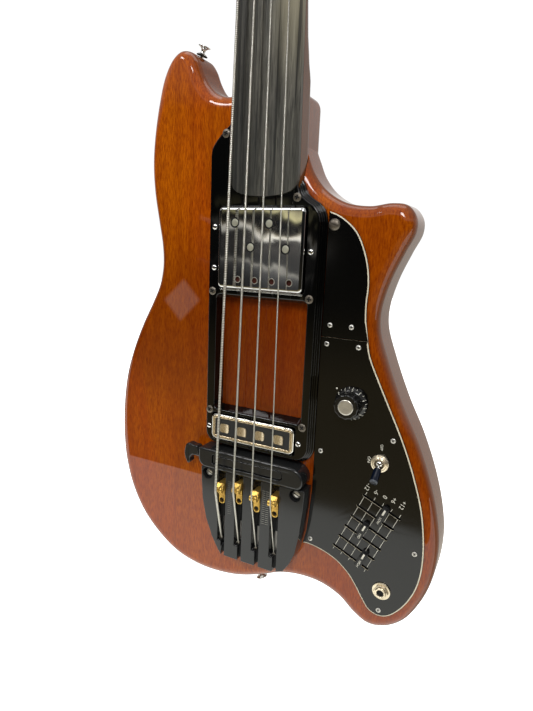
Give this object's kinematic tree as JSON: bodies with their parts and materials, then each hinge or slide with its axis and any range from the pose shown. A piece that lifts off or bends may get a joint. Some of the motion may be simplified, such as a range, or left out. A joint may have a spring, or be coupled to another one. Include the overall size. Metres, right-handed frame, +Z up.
{
  "type": "fretless electric bass guitar",
  "caption": "Fretless electric bass guitar with a two-horned mahogany body, black pickup frame and slotted tailpiece, sliding tone controls, toggle, knob and mute lever.",
  "frame": {"origin": "centre of the neck hanger point, under the headstock's flare, level with the face of the pickup frame", "axes": "+Z up the neck, -Y towards the player's plucking side (the strings), +X to the treble side"},
  "size_m": [0.3425, 0.0731, 1.1594],
  "materials": {
    "mahogany": "clear gloss lacquer over orange-brown mahogany",
    "mahogany_neck": "satin lacquer mahogany",
    "ebony": "oiled ebony with brown streaks",
    "bone": "polished bone",
    "steel": "plain steel",
    "string_steel": "round-wound steel",
    "black_gloss": "black gloss plastic",
    "black_casting": "black gloss paint on a casting",
    "chrome": "bright chrome plate",
    "brass": "polished brass",
    "aluminium": "spun aluminium",
    "black_plastic": "moulded black plastic",
    "blue_plastic": "dark blue-black plastic",
    "felt": "black felt",
    "coil": "lacquered copper winding",
    "circuit": "green circuit board"
  },
  "bodies": {
    "root": {"body": "mahogany", "neck": "mahogany_neck", "fingerboard": "ebony", "nut": "bone", "truss_rod": "steel", "headstock_overlay": "black_gloss", "truss_rod_cover": "black_gloss", "bridge_block": "black_casting", "mute_housing": "black_casting", "bridge_bolt_bass": "chrome", "bridge_bolt_treble": "chrome", "pickup_frame": "black_gloss", "neck_pickup_cover": "chrome", "neck_pickup_coil": "coil", "bridge_pickup_bezel": "chrome", "bridge_pickup_insert": "black_plastic", "bridge_pickup_coil": "coil", "upper_pickguard": "black_gloss", "pickguard_screw": "chrome", "control_plate": "black_gloss", "volume_pot": "steel", "toggle_bushing": "chrome", "toggle_switch_body": "black_plastic", "slider_pot_bank": "steel", "jack_socket": "chrome", "jack_nut": "chrome", "preamp_board": "circuit", "battery": "aluminium", "battery_lid": "black_plastic", "strap_button_upper": "chrome", "strap_button_lower": "chrome", "tuner_housing_e": "chrome", "string_e": "string_steel", "tuner_housing_a": "chrome", "string_a": "string_steel", "tuner_housing_d": "chrome", "string_d": "string_steel", "tuner_housing_g": "chrome", "string_g": "string_steel"},
    "volume_knob": {"volume_knob": "black_plastic"},
    "toggle_lever": {"toggle_lever": "blue_plastic"},
    "mute_lever": {"mute_lever": "black_casting"},
    "mute_pad": {"mute_pad": "felt"},
    "eq_slider_low": {"eq_slider_low": "black_plastic"},
    "eq_slider_mid": {"eq_slider_mid": "black_plastic"},
    "eq_slider_high": {"eq_slider_high": "black_plastic"},
    "saddle_e": {"saddle_e": "brass"},
    "saddle_a": {"saddle_a": "brass"},
    "saddle_d": {"saddle_d": "brass"},
    "saddle_g": {"saddle_g": "brass"},
    "tuner_post_e": {"tuner_post_e": "chrome"},
    "tuner_post_a": {"tuner_post_a": "chrome"},
    "tuner_post_d": {"tuner_post_d": "chrome"},
    "tuner_post_g": {"tuner_post_g": "chrome"},
    "tuner_key_e": {"tuner_key_e": "chrome"},
    "tuner_key_a": {"tuner_key_a": "chrome"},
    "tuner_key_d": {"tuner_key_d": "chrome"},
    "tuner_key_g": {"tuner_key_g": "chrome"}
  },
  "joints": [
    {"name": "volume_turn", "type": "hinge", "parent": "root", "child": "volume_knob", "pos_m": [0.0878, 0.0086, -0.784], "axis": [0, 1, 0], "range_deg": [-300, 0]},
    {"name": "toggle_flip", "type": "hinge", "parent": "root", "child": "toggle_lever", "pos_m": [0.117, 0.0066, -0.832], "axis": [-1, 0, 0], "range_deg": [0, 70]},
    {"name": "eq_low_slide", "type": "slide", "parent": "root", "child": "eq_slider_low", "axis": [0.9171, 0, -0.3987], "range_m": [-0.0191, 0.0109]},
    {"name": "eq_mid_slide", "type": "slide", "parent": "root", "child": "eq_slider_mid", "axis": [0.9171, 0, -0.3987], "range_m": [-0.012, 0.018]},
    {"name": "eq_high_slide", "type": "slide", "parent": "root", "child": "eq_slider_high", "axis": [0.9171, 0, -0.3987], "range_m": [-0.024, 0.006]},
    {"name": "mute_lever_turn", "type": "hinge", "parent": "root", "child": "mute_lever", "pos_m": [-0.058, 0.0005, -0.85825], "axis": [-1, 0, 0], "range_deg": [0, 50]},
    {"name": "mute_pad_rise", "type": "slide", "parent": "root", "child": "mute_pad", "axis": [0, -1, 0], "range_m": [0, 0.0049]},
    {"name": "saddle_e_slide", "type": "slide", "parent": "root", "child": "saddle_e", "axis": [0, 0, 1], "range_m": [0, 0.005]},
    {"name": "saddle_a_slide", "type": "slide", "parent": "root", "child": "saddle_a", "axis": [0, 0, 1], "range_m": [0, 0.005]},
    {"name": "saddle_d_slide", "type": "slide", "parent": "root", "child": "saddle_d", "axis": [0, 0, 1], "range_m": [0, 0.005]},
    {"name": "saddle_g_slide", "type": "slide", "parent": "root", "child": "saddle_g", "axis": [0, 0, 1], "range_m": [0, 0.005]},
    {"name": "tuner_e_turn", "type": "hinge", "parent": "root", "child": "tuner_key_e", "pos_m": [-0.023, 0.03234, 0.03363], "axis": [-1, 0, 0], "continuous": true},
    {"name": "post_e_turn", "type": "hinge", "parent": "root", "child": "tuner_post_e", "pos_m": [-0.023, 0.01101, 0.03701], "axis": [0, 0.9877, -0.1564], "continuous": true},
    {"name": "tuner_a_turn", "type": "hinge", "parent": "root", "child": "tuner_key_a", "pos_m": [-0.025, 0.04298, 0.10079], "axis": [-1, 0, 0], "continuous": true},
    {"name": "post_a_turn", "type": "hinge", "parent": "root", "child": "tuner_post_a", "pos_m": [-0.025, 0.02165, 0.10417], "axis": [0, 0.9877, -0.1564], "continuous": true},
    {"name": "tuner_d_turn", "type": "hinge", "parent": "root", "child": "tuner_key_d", "pos_m": [0.025, 0.04298, 0.10079], "axis": [1, 0, 0], "continuous": true},
    {"name": "post_d_turn", "type": "hinge", "parent": "root", "child": "tuner_post_d", "pos_m": [0.025, 0.02165, 0.10417], "axis": [0, 0.9877, -0.1564], "continuous": true},
    {"name": "tuner_g_turn", "type": "hinge", "parent": "root", "child": "tuner_key_g", "pos_m": [0.023, 0.03234, 0.03363], "axis": [1, 0, 0], "continuous": true},
    {"name": "post_g_turn", "type": "hinge", "parent": "root", "child": "tuner_post_g", "pos_m": [0.023, 0.01101, 0.03701], "axis": [0, 0.9877, -0.1564], "continuous": true}
  ],
  "couplings": [
    {"joint": "mute_pad_rise", "follows": "mute_lever_turn", "m_per_rad": 0.0055},
    {"joint": "post_e_turn", "follows": "tuner_e_turn", "ratio": -0.05},
    {"joint": "post_a_turn", "follows": "tuner_a_turn", "ratio": -0.05},
    {"joint": "post_d_turn", "follows": "tuner_d_turn", "ratio": 0.05},
    {"joint": "post_g_turn", "follows": "tuner_g_turn", "ratio": 0.05}
  ]
}
